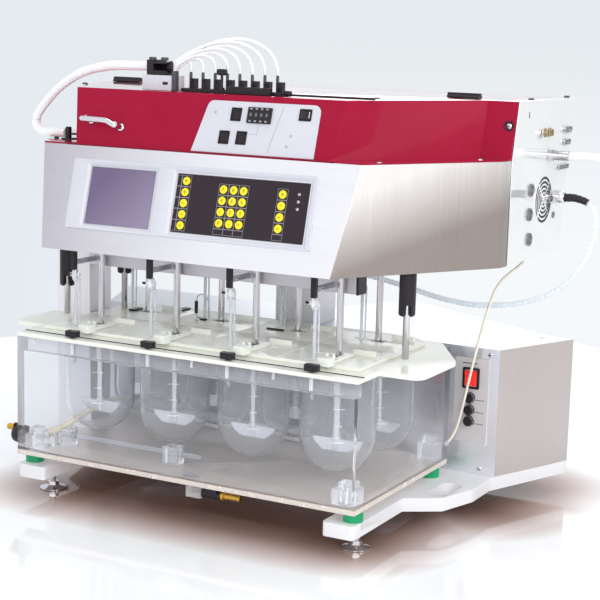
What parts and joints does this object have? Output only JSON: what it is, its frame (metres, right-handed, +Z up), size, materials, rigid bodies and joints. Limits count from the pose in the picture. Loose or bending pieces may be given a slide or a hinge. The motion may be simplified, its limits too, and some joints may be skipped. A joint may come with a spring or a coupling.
{
  "type": "tablet dissolution tester",
  "caption": "Bench dissolution tester: stirred round-bottomed vessels in a clear heated bath, under a drive head with display, keypad and tube pump that lifts on two columns.",
  "frame": {"origin": "middle of the machine's footprint, on the floor", "axes": "+X to the machine's right as seen from its front, +Y to its rear, +Z up"},
  "size_m": [1.0279, 0.5733, 0.7027],
  "materials": {
    "white_lacquer": "semi-gloss",
    "chrome": "polished",
    "clear_acrylic": "clear",
    "vessel_glass": "clear",
    "brushed_steel": "brushed",
    "red_lacquer": "gloss",
    "red_switch": "gloss",
    "black_plastic": "satin",
    "panel_white": "satin",
    "frame_white": "satin",
    "cream_plastic": "satin",
    "keypad_black": "satin",
    "beam_grey": "satin",
    "tube_white": "translucent",
    "belt_rubber": "matt",
    "motor_grey": "matt"
  },
  "bodies": {
    "stand": {"base_frame": "white_lacquer", "bath_tank": "clear_acrylic", "circulation_hose": "tube_white", "rim_strip": "cream_plastic", "vessel_plate": "cream_plastic", "vessel_lids": "cream_plastic", "vessel_1": "vessel_glass", "vessel_2": "vessel_glass", "vessel_3": "vessel_glass", "vessel_4": "vessel_glass", "vessel_5": "vessel_glass", "vessel_6": "vessel_glass", "vessel_7": "vessel_glass", "vessel_8": "vessel_glass", "rear_housing": "brushed_steel", "lift_column_left": "brushed_steel", "lift_column_middle": "brushed_steel", "front_drain": "black_plastic", "side_drain": "black_plastic"},
    "foot_front_left": {"levelling_foot_front_left": "chrome"},
    "foot_front_right": {"levelling_foot_front_right": "chrome"},
    "foot_rear_left": {"levelling_foot_rear_left": "chrome"},
    "foot_rear_right": {"levelling_foot_rear_right": "chrome"},
    "knob_1": {"clamp_knob_1": "black_plastic"},
    "knob_2": {"clamp_knob_2": "black_plastic"},
    "knob_3": {"clamp_knob_3": "black_plastic"},
    "knob_4": {"clamp_knob_4": "black_plastic"},
    "power_rocker": {"mains_switch": "red_switch"},
    "head": {"head_housing": "brushed_steel", "red_cover": "red_lacquer", "display_bezel": "frame_white", "keypad": "keypad_black", "control_panel": "frame_white", "bow_handle": "chrome", "guide_sleeve_left": "black_plastic", "guide_sleeve_right": "black_plastic", "guide_sleeve_rear": "black_plastic", "drive_belt": "belt_rubber", "drive_motor": "motor_grey", "sampling_manifold": "beam_grey", "tube_rack": "black_plastic", "tube_clamp": "frame_white", "side_panel": "panel_white", "sampling_tubes": "tube_white", "sleeve_hose": "tube_white", "spiral_cable": "tube_white", "supply_hose": "tube_white"},
    "pump_rocker": {"rocker_pump": "black_plastic"},
    "reverse_rocker": {"rocker_reverse": "black_plastic"},
    "speed_rocker": {"rocker_speed": "black_plastic"},
    "cell_rocker": {"rocker_cell": "black_plastic"},
    "wing": {"wing_knob": "black_plastic"},
    "shaft_1": {"paddle_shaft_1": "chrome"},
    "shaft_2": {"paddle_shaft_2": "chrome"},
    "shaft_3": {"paddle_shaft_3": "chrome"},
    "shaft_4": {"paddle_shaft_4": "chrome"},
    "shaft_5": {"paddle_shaft_5": "chrome"},
    "shaft_6": {"paddle_shaft_6": "chrome"},
    "shaft_7": {"paddle_shaft_7": "chrome"},
    "shaft_8": {"paddle_shaft_8": "chrome"}
  },
  "joints": [
    {"name": "head_lift", "type": "slide", "parent": "stand", "child": "head", "axis": [0, 0, 1], "range_m": [0, 0.19]},
    {"name": "foot_front_left_turn", "type": "hinge", "parent": "stand", "child": "foot_front_left", "pos_m": [-0.264, -0.20344, 0.01], "axis": [0, 0, 1], "range_deg": [-180, 180]},
    {"name": "foot_front_right_turn", "type": "hinge", "parent": "stand", "child": "foot_front_right", "pos_m": [0.264, -0.20344, 0.01], "axis": [0, 0, 1], "range_deg": [-180, 180]},
    {"name": "foot_rear_left_turn", "type": "hinge", "parent": "stand", "child": "foot_rear_left", "pos_m": [-0.264, 0.17955, 0.01], "axis": [0, 0, 1], "range_deg": [-180, 180]},
    {"name": "foot_rear_right_turn", "type": "hinge", "parent": "stand", "child": "foot_rear_right", "pos_m": [0.264, 0.17955, 0.01], "axis": [0, 0, 1], "range_deg": [-180, 180]},
    {"name": "clamp_knob_1_turn", "type": "hinge", "parent": "stand", "child": "knob_1", "pos_m": [-0.1915, -0.25144, 0.26], "axis": [0, 0, 1], "range_deg": [0, 180]},
    {"name": "clamp_knob_2_turn", "type": "hinge", "parent": "stand", "child": "knob_2", "pos_m": [-0.0572, -0.25144, 0.26], "axis": [0, 0, 1], "range_deg": [0, 180]},
    {"name": "clamp_knob_3_turn", "type": "hinge", "parent": "stand", "child": "knob_3", "pos_m": [0.0771, -0.25144, 0.26], "axis": [0, 0, 1], "range_deg": [0, 180]},
    {"name": "clamp_knob_4_turn", "type": "hinge", "parent": "stand", "child": "knob_4", "pos_m": [0.2114, -0.25144, 0.26], "axis": [0, 0, 1], "range_deg": [0, 180]},
    {"name": "mains_switch_rock", "type": "hinge", "parent": "stand", "child": "power_rocker", "pos_m": [0.3145, 0.07555, 0.1995], "axis": [1, 0, 0], "range_deg": [-14, 0]},
    {"name": "rocker_pump_rock", "type": "hinge", "parent": "head", "child": "pump_rocker", "pos_m": [0.056, -0.20464, 0.59661], "axis": [1, 0, 0], "range_deg": [-14, 0]},
    {"name": "rocker_reverse_rock", "type": "hinge", "parent": "head", "child": "reverse_rocker", "pos_m": [0.0422, -0.21421, 0.5643], "axis": [1, 0, 0], "range_deg": [-14, 0]},
    {"name": "rocker_speed_rock", "type": "hinge", "parent": "head", "child": "speed_rocker", "pos_m": [0.0702, -0.21407, 0.56478], "axis": [1, 0, 0], "range_deg": [-14, 0]},
    {"name": "rocker_cell_rock", "type": "hinge", "parent": "head", "child": "cell_rocker", "pos_m": [0.1655, -0.20342, 0.60074], "axis": [0, -0.284, -0.9588], "range_deg": [-14, 0]},
    {"name": "wing_knob_turn", "type": "hinge", "parent": "head", "child": "wing", "pos_m": [0.01, -0.16945, 0.64], "axis": [0, 0, 1], "range_deg": [-90, 90]},
    {"name": "shaft_1_spin", "type": "hinge", "parent": "head", "child": "shaft_1", "pos_m": [-0.2055, -0.15795, 0.39], "axis": [0, 0, 1], "continuous": true},
    {"name": "shaft_2_spin", "type": "hinge", "parent": "head", "child": "shaft_2", "pos_m": [-0.0685, -0.15795, 0.39], "axis": [0, 0, 1], "continuous": true},
    {"name": "shaft_3_spin", "type": "hinge", "parent": "head", "child": "shaft_3", "pos_m": [0.0685, -0.15795, 0.39], "axis": [0, 0, 1], "continuous": true},
    {"name": "shaft_4_spin", "type": "hinge", "parent": "head", "child": "shaft_4", "pos_m": [0.2055, -0.15795, 0.39], "axis": [0, 0, 1], "continuous": true},
    {"name": "shaft_5_spin", "type": "hinge", "parent": "head", "child": "shaft_5", "pos_m": [-0.2055, -0.02845, 0.39], "axis": [0, 0, 1], "continuous": true},
    {"name": "shaft_6_spin", "type": "hinge", "parent": "head", "child": "shaft_6", "pos_m": [-0.0685, -0.02845, 0.39], "axis": [0, 0, 1], "continuous": true},
    {"name": "shaft_7_spin", "type": "hinge", "parent": "head", "child": "shaft_7", "pos_m": [0.0685, -0.02845, 0.39], "axis": [0, 0, 1], "continuous": true},
    {"name": "shaft_8_spin", "type": "hinge", "parent": "head", "child": "shaft_8", "pos_m": [0.2055, -0.02845, 0.39], "axis": [0, 0, 1], "continuous": true}
  ],
  "couplings": [
    {"joint": "shaft_2_spin", "follows": "shaft_1_spin", "ratio": 1},
    {"joint": "shaft_3_spin", "follows": "shaft_1_spin", "ratio": 1},
    {"joint": "shaft_4_spin", "follows": "shaft_1_spin", "ratio": 1},
    {"joint": "shaft_5_spin", "follows": "shaft_1_spin", "ratio": 1},
    {"joint": "shaft_6_spin", "follows": "shaft_1_spin", "ratio": 1},
    {"joint": "shaft_7_spin", "follows": "shaft_1_spin", "ratio": 1},
    {"joint": "shaft_8_spin", "follows": "shaft_1_spin", "ratio": 1}
  ]
}
